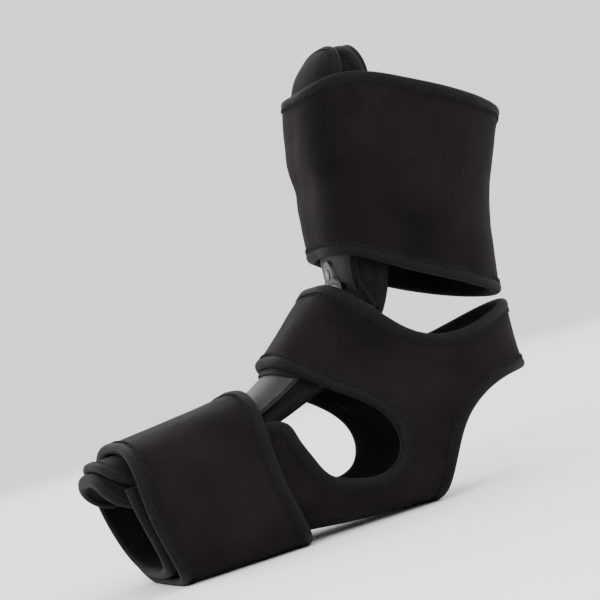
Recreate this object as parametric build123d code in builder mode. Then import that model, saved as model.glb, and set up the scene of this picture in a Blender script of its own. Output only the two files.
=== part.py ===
"""Dorsal ankle foot orthosis (night splint) for a right or a left foot, as a bench assembly.

A moulded shin shell and a moulded foot shell lie along the front of the leg and the top of the foot.
They are joined by a riveted steel hinge that a serrated washer and a thumb knob lock at an angle.
Each shell has a bound foam liner behind it and a fabric sleeve over its free end. Three neoprene
pieces hold it on: a calf wrap, an ankle wrap that runs under the arch to the ball of the foot, and a
forefoot wrap. Each wrap closes with a hook flap on the lateral side.

Frame: millimetres, +X to the toes, +Y to the medial side of a right foot, +Z up. The sole is level.
The origin is on the floor, under the ball of the foot.
"""

from math import cos, hypot, pi, sin
import os

from build123d import *

os.makedirs("parts", exist_ok=True)

# ---------------------------------------------------------------- driving dimensions
foot_length = 268.0  # the wearer's foot, heel to toe
drawn_foot_length = 280.0  # the foot that the outlines below are drawn round

wrap_thickness = 3.5  # neoprene laminate
binding_width = 7.0
binding_lip = 0.8  # how far a binding stands proud of the cloth
layer_gap = 0.3  # between two pieces that lie on each other
sleeve_thickness = 1.2
sleeve_binding_width = 4.5
shell_thickness = 3.0
pad_thickness = 8.0
pad_binding_width = 5.0

pin_stand_off = 4.7  # pin axis in front of the shin leaf's seat
pin_rise = 0.6  # pin axis above the foot leaf's seat
barrel_radius = 4.5
leaf_thickness = 1.8
knuckle_gap = 0.25
foot_knuckle_width = 11.0
shin_knuckle_width = 6.0
split_gap = 0.8  # between the shin pieces and the foot pieces behind the hinge
pin_radius = 1.75
pin_clearance = 0.05
pin_head_radius = 3.4
pin_head_height = 2.0
washer_thickness = 1.0
washer_radius = 3.9
washer_teeth = 16
nut_radius = 4.2
nut_height = 4.0
nut_grooves = 16
groove_radius = 0.4
rivet_radius = 1.5
rivet_head_radius = 2.6
rivet_head_height = 0.6
rivet_clearance = 0.05
shin_tab_radius = 7.0
shin_tab_reach = 9.0  # from the pin axis up to the tab's rivet
foot_tab_radius = 7.0
foot_rivet_reaches = (9.5, 18.0)  # from the pin axis along the foot leaf
leaf_neck = 5.0  # half of the shin leaf's width between its tab and its flare

flap_thickness = 2.5
flap_corner = 9.0
hook_thickness = 0.9
hook_margin = 6.0  # from a flap's edge to its hook patch

points_per_ring = 20
far = 150.0  # beyond every surface, for outlines that run off the object

size_factor = foot_length / drawn_foot_length
ball_from_back_of_ankle = 105.0  # on the drawn foot, from its side view's origin


def at(x, z):
    """A point of the drawn side view, brought to size. Its origin goes under the ball of the foot."""
    return (size_factor * (x - ball_from_back_of_ankle), size_factor * z)


def drawn(*points):
    return [at(x, z) for x, z in points]


# ---------------------------------------------------------------- form of the leg and foot
class Ring:
    """One cross-section: an egg between a front (or top) point and a back (or bottom) point."""

    def __init__(self, front, back, half_width, front_power=3.0, back_power=2.0):
        self.front = at(*front)
        self.back = at(*back)
        self.half_width = size_factor * half_width
        self.front_power = front_power
        self.back_power = back_power
        run = (self.front[0] - self.back[0], self.front[1] - self.back[1])
        self.half_depth = hypot(*run) / 2
        self.forward = (run[0] / hypot(*run), run[1] / hypot(*run))

    def plane(self):
        middle = ((self.front[0] + self.back[0]) / 2, (self.front[1] + self.back[1]) / 2)
        ahead = (self.forward[0], 0, self.forward[1])
        return Plane(origin=(middle[0], 0, middle[1]), x_dir=ahead, z_dir=(-ahead[2], 0, ahead[0]))

    def outline(self, inset):
        """Points of the egg, taken in by inset, from the back round and up to the back again."""
        ring = []
        for step in range(points_per_ring):
            angle = pi + 2 * pi * step / points_per_ring
            across, ahead = sin(angle), cos(angle)
            power = 2 / (self.front_power if ahead > 0 else self.back_power)
            depth = (self.half_depth - inset) * abs(ahead) ** power
            width = (self.half_width - inset) * abs(across) ** power
            ring.append((depth if ahead > 0 else -depth, width if across > 0 else -width))
        return ring


# Outer surface of the calf wrap. It goes on over the domed top of the shin shell and below the wrap.
calf_rings = [
    Ring((-28, 257), (-101, 235), 33.0, 3.0),
    Ring((-6, 253), (-98, 222), 40.0, 3.2),
    Ring((13, 243), (-95, 208), 45.0, 3.2),
    Ring((23.5, 223), (-90, 194), 46.5, 3.2),
    Ring((28.5, 190), (-77.5, 167), 45.0, 3.4),
    Ring((31, 160), (-67.5, 141), 41.5, 3.4),
    Ring((33, 140), (-63.5, 121), 39.5, 3.4),
    Ring((34, 124), (-61, 105), 38.5, 3.4),
    Ring((34, 108), (-59, 90), 38.0, 3.4),
    Ring((33, 92), (-58, 75), 38.0, 3.4),
]
# Outer surface of the ankle wrap, fanning round the bend of the ankle and on under the forefoot wrap.
ankle_rings = [
    Ring((37.5, 133.5), (-61.5, 103), 40.0, 3.8),
    Ring((41.5, 126.3), (-61, 91), 40.5, 3.8),
    Ring((49.2, 120.2), (-59.5, 68), 41.0, 3.6, 2.2),
    Ring((58.5, 112.6), (-60, 42), 41.5, 3.4, 2.4),
    Ring((68.2, 104.4), (-54, 14), 41.5, 3.4, 2.6),
    Ring((77.4, 96.8), (-22, 0.84), 41.5, 3.3, 2.8),
    Ring((87.4, 90), (18, 0.84), 42.0, 3.2, 3.0),
    Ring((97, 86), (54, 2.4), 43.5, 3.0, 3.0),
    Ring((112, 83.2), (86, 5.6), 45.6, 3.0, 3.0),
    Ring((136, 80.2), (112, 5.7), 47.2, 3.0, 3.0),
    Ring((160, 77.6), (137, 5.5), 47.2, 3.0, 3.0),
    Ring((176, 76.1), (153, 5.4), 46.8, 3.0, 3.0),
    Ring((192, 74.7), (169, 5.2), 46.2, 3.0, 3.0),
]
# Outer surface of the forefoot wrap. Its underside runs just below the floor and is cut flat there.
forefoot_rings = [
    Ring((84, 92), (58, -0.8), 47.0, 3.0, 4.0),
    Ring((95, 87.2), (74, -0.8), 50.0, 3.0, 4.0),
    Ring((112, 83.8), (95, -0.8), 52.5, 3.0, 4.0),
    Ring((136, 80.8), (121, -0.8), 54.0, 3.0, 4.0),
    Ring((160, 78.2), (148, -0.8), 54.6, 3.0, 4.0),
    Ring((186, 76), (175, -0.8), 54.0, 3.0, 4.0),
]
# Front face of the foot shell.
foot_rings = [
    Ring((22, 127), (-36, 76), 33.5, 3.4),
    Ring((32.5, 120.4), (-16, 60), 34.0, 3.4),
    Ring((46, 111.6), (6, 44), 34.5, 3.4),
    Ring((60, 101.4), (24, 30), 34.5, 3.2),
    Ring((77.7, 89.6), (44, 19), 34.5, 3.0),
    Ring((91.8, 82), (64, 9), 35.0, 3.0),
    Ring((105, 78), (86, 5), 37.0, 2.8),
    Ring((124, 75.4), (114, 5), 39.0, 2.8),
    Ring((148, 73), (140, 5), 40.0, 2.8),
    Ring((172, 70.6), (165, 5), 40.0, 2.8),
    Ring((196, 71.4), (190, 5), 39.0, 2.8),
]
sleeve_inset = wrap_thickness + layer_gap  # of the shin pieces inside the calf wrap
shell_inset = sleeve_inset + sleeve_thickness + layer_gap / 3
shin_pad_inset = shell_inset + shell_thickness + layer_gap
foot_pad_inset = shell_thickness + layer_gap  # of the foot liner inside the foot shell's face


def form(rings, inset, mode=Mode.ADD):
    """Lofts the rings, taken in by inset, into the part that is being built."""
    sections = []
    for ring in rings:
        with BuildSketch(ring.plane()) as section:
            with BuildLine():
                Spline(*ring.outline(inset), periodic=True)
            make_face()
        sections.append(section.sketch.face())
    loft(sections, mode=mode)


def layer(rings, outer_inset, inner_inset):
    """A hollow skin between two insets of a form."""
    form(rings, outer_inset)
    form(rings, inner_inset, mode=Mode.SUBTRACT)


# ---------------------------------------------------------------- outlines in the side view
def moved_out(edge, corners, distance):
    """The edge curve's points, moved away from the area that the edge and the corners bound."""
    outline = edge + corners
    turn = sum(a[0] * b[1] - b[0] * a[1] for a, b in zip(outline, outline[1:] + outline[:1]))
    side = distance if turn > 0 else -distance
    moved = []
    for index, (x, z) in enumerate(edge):
        before = edge[max(index - 1, 0)]
        after = edge[min(index + 1, len(edge) - 1)]
        run = (after[0] - before[0], after[1] - before[1])
        moved.append((x + side * run[1] / hypot(*run), z - side * run[0] / hypot(*run)))
    return moved


def region(edge, corners, grow=0.0):
    """The side-view area that an edge curve bounds, closed by straight lines through the corners."""
    curve = moved_out(edge, corners, grow)
    with BuildSketch(Plane.XZ) as area:
        with BuildLine():
            Spline(*curve)
            Polyline(curve[-1], *corners, curve[0])
        make_face()
    return area.sketch


def keep(area):
    extrude(area, amount=far, both=True, mode=Mode.INTERSECT)


def cut(area):
    extrude(area, amount=far, both=True, mode=Mode.SUBTRACT)


calf_top_edge = drawn(
    (40, 221), (26, 227), (13, 230.5), (0, 229.5), (-26, 219.5), (-58, 204.5), (-88, 191), (-110, 182)
)
calf_top_corners = drawn((-150, 182), (-150, 290), (90, 290), (90, 221))
calf_bottom_edge = drawn((55, 142), (34, 140.5), (19, 133.6), (3, 124), (-27, 108.6), (-60, 94.5), (-90, 84))
calf_bottom_corners = drawn((-150, 84), (-150, 20), (90, 20), (90, 142))

ankle_top_edge = drawn(
    (60, 140), (40, 127), (30, 116), (18.5, 102.6), (9, 93), (-5, 85.6), (-24, 84.6), (-55, 91.5), (-90, 98)
)
ankle_top_corners = drawn((-150, 98), (-150, 200), (60, 200))
heel_edge = drawn((-90, 56), (-60, 54), (-41, 53), (-26, 49), (-12, 40), (0, 22), (8, 0), (11, -30))
heel_corners = drawn((-150, -30), (-150, 56))
instep_edge = drawn(
    (110, 120), (80, 95.6), (68, 83), (55, 71.5), (42, 61.5), (32.5, 50), (30, 38.7), (35, 27.5), (46, 23.6),
    (60, 26.8), (70.5, 32.5), (76.5, 42.5), (81.5, 53.5), (88, 61), (110, 63), (150, 58), (200, 56)
)
instep_corners = drawn((240, 56), (240, 120))
sole_front_edge = drawn((178, 100), (175.5, 45), (164.5, 2), (158, -20))
sole_front_corners = drawn((240, -20), (240, 100))

forefoot_rear_edge = drawn((97, 110), (97.5, 86), (98.5, 45), (88, 0), (80, -25))
forefoot_rear_corners = drawn((20, -25), (20, 110))
forefoot_front_edge = drawn((171, 110), (171, 78), (171.5, 45), (161, 0), (153, -25))
forefoot_front_corners = drawn((240, -25), (240, 110))

shin_shell_edge = drawn(
    (2, 262), (3.5, 246), (7, 229), (11, 205), (15.5, 175), (19.5, 148), (23.5, 126), (22, 108), (18, 85)
)
shin_shell_corners = drawn((90, 85), (90, 262))
shin_pad_edge = drawn(
    (-7, 262), (-9.5, 243), (-11, 233), (-10, 222), (-6, 200),
    (-2, 170), (2, 146), (6.5, 124), (14, 107), (22, 85)
)
shin_pad_corners = drawn((90, 85), (90, 262))
sleeve_lower_edge = drawn((90, 196), (20, 204), (-60, 206))
sleeve_lower_corners = drawn((-60, 60), (90, 60))
foot_shell_edge = drawn(
    (0, 108), (30, 104), (52, 94), (72.5, 82.2), (95.5, 71.5),
    (124, 63), (150, 59.5), (169, 62), (180, 76), (182, 95)
)
foot_shell_corners = drawn((182, 160), (0, 160))
foot_pad_edge = drawn(
    (-8, 95), (22, 90.5), (57.5, 76), (95, 63.5), (124, 54),
    (153, 46.5), (174, 45.5), (185, 56), (188, 72), (188, 95)
)
foot_pad_corners = drawn((188, 160), (-10, 160))
foot_sleeve_rear_edge = drawn((147, 170), (150, 70), (146, -20))
foot_sleeve_rear_corners = drawn((-100, -20), (-100, 170))

# Closing flaps, on the lateral side. Their first two corners are the sewn root, the others are rounded.
calf_flap_corners = drawn((-45, 190), (-33, 130), (15, 144), (5, 204))
ankle_flap_corners = drawn((6, 80), (26, 60), (58, 90), (38, 110))
forefoot_flap_corners = drawn((108, 18), (162, 14), (158, 58), (110, 60))


# ---------------------------------------------------------------- hinge line
shin_line = (at(33, 140), at(34, 124))  # front of the calf form either side of the hinge
foot_line = (at(32.5, 120.4), at(46, 111.6))  # front of the foot shell below the hinge


def outward(line):
    """The unit normal of a falling front line, away from the leg."""
    run = (line[1][0] - line[0][0], line[1][1] - line[0][1])
    return (-run[1] / hypot(*run), run[0] / hypot(*run))


shin_out = outward(shin_line)
foot_out = outward(foot_line)
pin_height = size_factor * 121.6
shin_face_x = shin_line[1][0] - shell_inset * shin_out[0]
seat_depth = 0.3  # of the leaves' flat seats in the shells
pin_x = shin_face_x - seat_depth + pin_stand_off
pin_axis = Plane(origin=(pin_x, 0, pin_height), x_dir=(1, 0, 0), z_dir=(0, 1, 0))
shin_seat = Plane(
    origin=(pin_x - pin_stand_off * shin_out[0], 0, pin_height - pin_stand_off * shin_out[1]),
    x_dir=(0, 1, 0),
    z_dir=(shin_out[0], 0, shin_out[1]),
)
foot_seat = Plane(
    origin=(pin_x - pin_rise * foot_out[0], 0, pin_height - pin_rise * foot_out[1]),
    x_dir=(0, -1, 0),
    z_dir=(foot_out[0], 0, foot_out[1]),
)
split_direction = (-0.74, -0.67)  # from the pin back between the shin liner and the foot liner
hinge_half_width = foot_knuckle_width / 2 + knuckle_gap + shin_knuckle_width


def split_side(sign):
    """The side-view area on one side of the split line, sign +1 for the foot's side."""
    across = (-split_direction[1], split_direction[0])
    start = (pin_x - sign * across[0] * -split_gap / 2, pin_height - sign * across[1] * -split_gap / 2)
    ahead = (start[0] - far * split_direction[0], start[1] - far * split_direction[1])
    behind = (start[0] + far * split_direction[0], start[1] + far * split_direction[1])
    deep = (sign * far * across[0], sign * far * across[1])
    with BuildSketch(Plane.XZ) as area:
        with BuildLine():
            Polyline(
                ahead,
                behind,
                (behind[0] + deep[0], behind[1] + deep[1]),
                (ahead[0] + deep[0], ahead[1] + deep[1]),
                close=True,
            )
        make_face()
    return area.sketch


with BuildSketch(Plane.XZ) as barrel_room:
    with Locations((pin_x, pin_height)):
        Circle(barrel_radius + knuckle_gap)


# ---------------------------------------------------------------- wraps and their bindings
with BuildPart() as calf_wrap:
    layer(calf_rings, 0, wrap_thickness)
    cut(region(calf_top_edge, calf_top_corners, binding_width))
    cut(region(calf_bottom_edge, calf_bottom_corners, binding_width))

with BuildPart() as calf_top_binding:
    layer(calf_rings, -binding_lip, wrap_thickness)
    keep(region(calf_top_edge, calf_top_corners, binding_width))
    cut(region(calf_top_edge, calf_top_corners))

with BuildPart() as calf_bottom_binding:
    layer(calf_rings, -binding_lip, wrap_thickness)
    keep(region(calf_bottom_edge, calf_bottom_corners, binding_width))
    cut(region(calf_bottom_edge, calf_bottom_corners))

with BuildPart() as ankle_wrap:
    layer(ankle_rings, 0, wrap_thickness)
    cut(region(ankle_top_edge, ankle_top_corners, binding_width))
    cut(region(heel_edge, heel_corners, binding_width))
    cut(region(instep_edge, instep_corners, binding_width))
    cut(region(sole_front_edge, sole_front_corners, binding_width))

with BuildPart() as ankle_top_binding:
    layer(ankle_rings, -binding_lip, wrap_thickness)
    keep(region(ankle_top_edge, ankle_top_corners, binding_width))
    cut(region(ankle_top_edge, ankle_top_corners))

with BuildPart() as heel_binding:
    layer(ankle_rings, -binding_lip, wrap_thickness)
    keep(region(heel_edge, heel_corners, binding_width))
    cut(region(heel_edge, heel_corners))

with BuildPart() as instep_binding:
    layer(ankle_rings, -binding_lip, wrap_thickness)
    keep(region(instep_edge, instep_corners, binding_width))
    cut(region(instep_edge, instep_corners))
    cut(region(sole_front_edge, sole_front_corners, binding_width))

with BuildPart() as sole_front_binding:
    layer(ankle_rings, -binding_lip, wrap_thickness)
    keep(region(sole_front_edge, sole_front_corners, binding_width))
    cut(region(sole_front_edge, sole_front_corners))
    cut(region(instep_edge, instep_corners))

with BuildPart() as forefoot_wrap:
    layer(forefoot_rings, 0, wrap_thickness)
    cut(region(forefoot_rear_edge, forefoot_rear_corners, binding_width))
    cut(region(forefoot_front_edge, forefoot_front_corners, binding_width))
    split(bisect_by=Plane.XY, keep=Keep.TOP)

with BuildPart() as forefoot_rear_binding:
    layer(forefoot_rings, -binding_lip, wrap_thickness)
    keep(region(forefoot_rear_edge, forefoot_rear_corners, binding_width))
    cut(region(forefoot_rear_edge, forefoot_rear_corners))
    split(bisect_by=Plane.XY, keep=Keep.TOP)

with BuildPart() as forefoot_front_binding:
    layer(forefoot_rings, -binding_lip, wrap_thickness)
    keep(region(forefoot_front_edge, forefoot_front_corners, binding_width))
    cut(region(forefoot_front_edge, forefoot_front_corners))
    split(bisect_by=Plane.XY, keep=Keep.TOP)


# ---------------------------------------------------------------- hinge
def on_seat(plane, reach, height=0.0):
    """A plane over a leaf's seat, at a distance along the leaf from the pin and a height above it."""
    return Plane(
        origin=plane.from_local_coords((0, reach, height)),
        x_dir=plane.x_dir,
        z_dir=plane.z_dir,
    )


def shin_leaf_outline(margin=0.0):
    with BuildSketch(shin_seat) as outline:
        with Locations((0, shin_tab_reach)):
            Circle(shin_tab_radius + margin)
        with BuildLine():
            Polyline(
                (-hinge_half_width - margin, -margin),
                (hinge_half_width + margin, -margin),
                (hinge_half_width + margin, barrel_radius + margin),
                (leaf_neck + margin, barrel_radius + leaf_neck / 2 + margin),
                (leaf_neck + margin, shin_tab_reach),
                (-leaf_neck - margin, shin_tab_reach),
                (-leaf_neck - margin, barrel_radius + leaf_neck / 2 + margin),
                (-hinge_half_width - margin, barrel_radius + margin),
                close=True,
            )
        make_face()
    return outline.sketch


def foot_leaf_outline(margin=0.0):
    far_rivet = max(foot_rivet_reaches)
    shoulder = barrel_radius + 2 * knuckle_gap
    with BuildSketch(foot_seat) as outline:
        with Locations((0, far_rivet)):
            Circle(foot_tab_radius + margin)
        with Locations((0, (far_rivet + shoulder) / 2)):
            Rectangle(2 * (foot_tab_radius + margin), far_rivet - shoulder + margin)
        with Locations((0, shoulder / 2)):
            Rectangle(foot_knuckle_width + 2 * margin, shoulder)
    return outline.sketch


def on_pin(start, end, radius):
    """A round bar on the pin axis between two places along Y, as a sketch ready to be extruded."""
    with BuildSketch(pin_axis.offset(start)) as disc:
        Circle(radius)
    return disc.sketch, end - start


def add_on_pin(start, end, radius, mode=Mode.ADD):
    disc, length = on_pin(start, end, radius)
    extrude(disc, amount=length, mode=mode)


def rivet_holes(plane, reaches, mode=Mode.SUBTRACT):
    for reach in reaches:
        with BuildSketch(on_seat(plane, reach, leaf_thickness)) as hole:
            Circle(rivet_radius + rivet_clearance)
        extrude(hole.sketch, amount=far / 10, both=True, mode=mode)


shin_rivet_reaches = (shin_tab_reach,)
knuckle_start = foot_knuckle_width / 2 + knuckle_gap

with BuildPart() as shin_leaf:
    extrude(shin_leaf_outline(), amount=leaf_thickness)
    add_on_pin(-hinge_half_width, hinge_half_width, barrel_radius)
    add_on_pin(-knuckle_start, knuckle_start, barrel_radius + knuckle_gap, mode=Mode.SUBTRACT)
    add_on_pin(-far, far, pin_radius + pin_clearance, mode=Mode.SUBTRACT)
    rivet_holes(shin_seat, shin_rivet_reaches)

with BuildPart() as foot_leaf:
    extrude(foot_leaf_outline(), amount=leaf_thickness)
    add_on_pin(-foot_knuckle_width / 2, foot_knuckle_width / 2, barrel_radius)
    add_on_pin(-far, far, pin_radius + pin_clearance, mode=Mode.SUBTRACT)
    rivet_holes(foot_seat, foot_rivet_reaches)

washer_start = hinge_half_width + knuckle_gap
nut_start = washer_start + washer_thickness + knuckle_gap

with BuildPart() as hinge_pin:
    add_on_pin(-nut_start - nut_height - 1, hinge_half_width + knuckle_gap, pin_radius)
    head_start = hinge_half_width + knuckle_gap
    add_on_pin(head_start, head_start + pin_head_height, pin_head_radius)
    fillet(hinge_pin.faces().sort_by(Axis.Y)[-1].edges(), radius=0.8)

with BuildPart() as lock_washer:
    with BuildSketch(pin_axis.offset(-washer_start - washer_thickness)):
        Circle(washer_radius - 0.5)
        with PolarLocations(washer_radius - 0.5, washer_teeth):
            Circle(0.5)
        Circle(pin_radius + pin_clearance, mode=Mode.SUBTRACT)
    extrude(amount=washer_thickness)

with BuildPart() as lock_nut:
    with BuildSketch(pin_axis.offset(-nut_start - nut_height)):
        Circle(nut_radius)
        with PolarLocations(nut_radius, nut_grooves):
            Circle(groove_radius, mode=Mode.SUBTRACT)
        Circle(pin_radius + pin_clearance, mode=Mode.SUBTRACT)
    extrude(amount=nut_height)


def rivets(plane, reaches):
    """Round-headed rivets through a leaf and into the shell under it, each its own solid."""
    for reach in reaches:
        with BuildSketch(on_seat(plane, reach, leaf_thickness)) as head:
            Circle(rivet_head_radius)
        extrude(head.sketch, amount=rivet_head_height)
        with BuildSketch(on_seat(plane, reach, leaf_thickness)) as shank:
            Circle(rivet_radius)
        extrude(shank.sketch, amount=-(leaf_thickness + shell_thickness - 2 * seat_depth))


with BuildPart() as shin_rivet:
    rivets(shin_seat, shin_rivet_reaches)

with BuildPart() as foot_rivets:
    rivets(foot_seat, foot_rivet_reaches)


# ---------------------------------------------------------------- shells, liners and sleeves
with BuildPart() as shin_shell:
    layer(calf_rings, shell_inset, shell_inset + shell_thickness)
    keep(region(shin_shell_edge, shin_shell_corners))
    keep(split_side(-1))
    cut(barrel_room.sketch)
    extrude(shin_leaf_outline(layer_gap), amount=far / 10, mode=Mode.SUBTRACT)
    rivet_holes(shin_seat, shin_rivet_reaches)

with BuildPart() as foot_shell:
    layer(foot_rings, 0, shell_thickness)
    keep(region(foot_shell_edge, foot_shell_corners))
    keep(split_side(1))
    cut(barrel_room.sketch)
    extrude(foot_leaf_outline(layer_gap), amount=far / 10, mode=Mode.SUBTRACT)
    rivet_holes(foot_seat, foot_rivet_reaches)

with BuildPart() as shin_pad:
    layer(calf_rings, shin_pad_inset, shin_pad_inset + pad_thickness)
    keep(region(shin_pad_edge, shin_pad_corners, -pad_binding_width))
    keep(split_side(-1))

with BuildPart() as shin_pad_binding:
    layer(calf_rings, shin_pad_inset, shin_pad_inset + pad_thickness)
    keep(region(shin_pad_edge, shin_pad_corners))
    cut(region(shin_pad_edge, shin_pad_corners, -pad_binding_width))
    keep(split_side(-1))

with BuildPart() as foot_pad:
    layer(foot_rings, foot_pad_inset, foot_pad_inset + pad_thickness)
    keep(region(foot_pad_edge, foot_pad_corners, -pad_binding_width))
    keep(split_side(1))

with BuildPart() as foot_pad_binding:
    layer(foot_rings, foot_pad_inset, foot_pad_inset + pad_thickness)
    keep(region(foot_pad_edge, foot_pad_corners))
    cut(region(foot_pad_edge, foot_pad_corners, -pad_binding_width))
    keep(split_side(1))

with BuildPart() as shin_sleeve:
    layer(calf_rings, sleeve_inset, sleeve_inset + sleeve_thickness)
    keep(region(shin_shell_edge, shin_shell_corners))
    cut(region(sleeve_lower_edge, sleeve_lower_corners))

with BuildPart() as shin_sleeve_binding:
    layer(calf_rings, sleeve_inset, shell_inset + shell_thickness)
    keep(region(shin_shell_edge, shin_shell_corners, layer_gap / 3 + sleeve_binding_width))
    cut(region(shin_shell_edge, shin_shell_corners, layer_gap / 3))
    cut(region(sleeve_lower_edge, sleeve_lower_corners))

with BuildPart() as foot_sleeve:
    layer(foot_rings, -layer_gap / 3 - sleeve_thickness, -layer_gap / 3)
    keep(region(foot_shell_edge, foot_shell_corners))
    cut(region(foot_sleeve_rear_edge, foot_sleeve_rear_corners))

with BuildPart() as foot_sleeve_binding:
    layer(foot_rings, -layer_gap / 3 - sleeve_thickness, shell_thickness)
    keep(region(foot_shell_edge, foot_shell_corners, layer_gap / 3 + sleeve_binding_width))
    cut(region(foot_shell_edge, foot_shell_corners, layer_gap / 3))
    cut(region(foot_sleeve_rear_edge, foot_sleeve_rear_corners))


# ---------------------------------------------------------------- closing flaps
def flap_area(corners, inset=0.0):
    """A flap's side-view area, with a straight root and two rounded free corners."""
    with BuildSketch(Plane.XZ) as area:
        with BuildLine():
            Polyline(*corners, close=True)
        make_face()
        free = [vertex for vertex in area.vertices() if any(near(vertex, corner) for corner in corners[2:])]
        fillet(free, radius=flap_corner)
        if inset:
            offset(amount=-inset)
    return area.sketch


def near(vertex, corner):
    across = hypot(vertex.X - corner[0], vertex.Z - corner[1])
    along = hypot(vertex.X - corner[0], vertex.Y - corner[1])
    return min(across, along) < 1e-3


def keep_lateral(area):
    extrude(area, amount=far, mode=Mode.INTERSECT)


flap_inset = layer_gap + hook_thickness  # of a flap outside its wrap

with BuildPart() as calf_flap:
    layer(calf_rings, -flap_inset - flap_thickness, -flap_inset)
    keep_lateral(flap_area(calf_flap_corners))

with BuildPart() as calf_hook:
    layer(calf_rings, -flap_inset, -layer_gap)
    keep_lateral(flap_area(calf_flap_corners, hook_margin))

with BuildPart() as ankle_flap:
    layer(ankle_rings, -flap_inset - flap_thickness, -flap_inset)
    keep_lateral(flap_area(ankle_flap_corners))

with BuildPart() as ankle_hook:
    layer(ankle_rings, -flap_inset, -layer_gap)
    keep_lateral(flap_area(ankle_flap_corners, hook_margin))

with BuildPart() as forefoot_flap:
    layer(forefoot_rings, -flap_inset - flap_thickness, -flap_inset)
    keep_lateral(flap_area(forefoot_flap_corners))

with BuildPart() as forefoot_hook:
    layer(forefoot_rings, -flap_inset, -layer_gap)
    keep_lateral(flap_area(forefoot_flap_corners, hook_margin))


# ---------------------------------------------------------------- output
def name_and_write(part, label):
    part.label = label
    export_step(part, "parts/" + label + ".step")


name_and_write(shin_shell.part, "shin_shell")
name_and_write(shin_pad.part, "shin_pad")
name_and_write(shin_pad_binding.part, "shin_pad_binding")
name_and_write(shin_sleeve.part, "shin_sleeve")
name_and_write(shin_sleeve_binding.part, "shin_sleeve_binding")
name_and_write(calf_wrap.part, "calf_wrap")
name_and_write(calf_top_binding.part, "calf_top_binding")
name_and_write(calf_bottom_binding.part, "calf_bottom_binding")
name_and_write(calf_flap.part, "calf_flap")
name_and_write(calf_hook.part, "calf_hook")
name_and_write(shin_leaf.part, "shin_leaf")
name_and_write(shin_rivet.part, "shin_rivet")
name_and_write(hinge_pin.part, "hinge_pin")
name_and_write(lock_washer.part, "lock_washer")
name_and_write(lock_nut.part, "lock_nut")
name_and_write(foot_leaf.part, "foot_leaf")
name_and_write(foot_rivets.part, "foot_rivets")
name_and_write(foot_shell.part, "foot_shell")
name_and_write(foot_pad.part, "foot_pad")
name_and_write(foot_pad_binding.part, "foot_pad_binding")
name_and_write(foot_sleeve.part, "foot_sleeve")
name_and_write(foot_sleeve_binding.part, "foot_sleeve_binding")
name_and_write(ankle_wrap.part, "ankle_wrap")
name_and_write(ankle_top_binding.part, "ankle_top_binding")
name_and_write(heel_binding.part, "heel_binding")
name_and_write(instep_binding.part, "instep_binding")
name_and_write(sole_front_binding.part, "sole_front_binding")
name_and_write(ankle_flap.part, "ankle_flap")
name_and_write(ankle_hook.part, "ankle_hook")
name_and_write(forefoot_wrap.part, "forefoot_wrap")
name_and_write(forefoot_rear_binding.part, "forefoot_rear_binding")
name_and_write(forefoot_front_binding.part, "forefoot_front_binding")
name_and_write(forefoot_flap.part, "forefoot_flap")
name_and_write(forefoot_hook.part, "forefoot_hook")
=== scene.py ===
import math
from collections import namedtuple

import bpy
import numpy as np
from mathutils import Matrix, Vector
from mathutils.bvhtree import BVHTree


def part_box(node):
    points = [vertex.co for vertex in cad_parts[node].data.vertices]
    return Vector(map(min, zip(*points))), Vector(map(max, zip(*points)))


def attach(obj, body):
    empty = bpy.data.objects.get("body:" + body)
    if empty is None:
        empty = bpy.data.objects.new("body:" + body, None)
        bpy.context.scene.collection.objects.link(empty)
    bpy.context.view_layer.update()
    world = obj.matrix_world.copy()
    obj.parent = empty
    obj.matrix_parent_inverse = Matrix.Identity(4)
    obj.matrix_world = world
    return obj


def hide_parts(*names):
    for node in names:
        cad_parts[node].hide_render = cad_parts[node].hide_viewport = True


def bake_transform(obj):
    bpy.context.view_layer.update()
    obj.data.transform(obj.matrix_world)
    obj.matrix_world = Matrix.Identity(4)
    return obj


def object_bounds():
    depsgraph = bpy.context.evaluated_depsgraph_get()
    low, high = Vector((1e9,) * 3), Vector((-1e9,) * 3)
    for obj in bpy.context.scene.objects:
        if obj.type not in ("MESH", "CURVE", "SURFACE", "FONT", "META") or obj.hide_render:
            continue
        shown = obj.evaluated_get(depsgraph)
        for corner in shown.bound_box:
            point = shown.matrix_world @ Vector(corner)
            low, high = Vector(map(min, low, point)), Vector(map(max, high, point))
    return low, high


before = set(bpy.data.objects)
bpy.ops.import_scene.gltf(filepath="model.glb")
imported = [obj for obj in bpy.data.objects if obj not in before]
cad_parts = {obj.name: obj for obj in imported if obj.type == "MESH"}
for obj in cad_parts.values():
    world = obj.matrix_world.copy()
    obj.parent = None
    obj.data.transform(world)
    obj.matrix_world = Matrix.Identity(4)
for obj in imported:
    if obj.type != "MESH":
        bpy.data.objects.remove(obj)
cad_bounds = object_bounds()

# ---- sizes, in metres
MM = 0.001
FOOT = 0.268  # the wearer's foot, as in the CAD model
DRAWN_FOOT = 0.280  # the foot that the outlines are drawn round
BALL = 105.0  # from the drawn outlines' origin to the ball of the foot, in millimetres
SIZE = FOOT / DRAWN_FOOT * MM

CLOTH = 3.5 * MM
GAP = 0.3 * MM
SLEEVE = 1.2 * MM
SHELL = 3.0 * MM
PAD = 8.0 * MM
FLAP_OUT = 1.2 * MM  # from a wrap's face to the inside of its closing flap
FLAP = 2.5 * MM
SLEEVE_IN = CLOTH + GAP
SHELL_IN = SLEEVE_IN + SLEEVE + GAP / 3
SHIN_PAD_IN = SHELL_IN + SHELL + GAP
FOOT_PAD_IN = SHELL + GAP
EDGE_STEP = 1.2 * MM  # between the rows of a tape
STITCH_STEP = 0.55 * MM  # between the rows of a stitching thread


def mm(*values):
    return [value * MM for value in values]


def at(x, z):
    """A point of the drawn side view, in the model's frame."""
    return (SIZE * (x - BALL), SIZE * z)


def drawn(*points):
    return np.array([at(x, z) for x, z in points])


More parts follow.
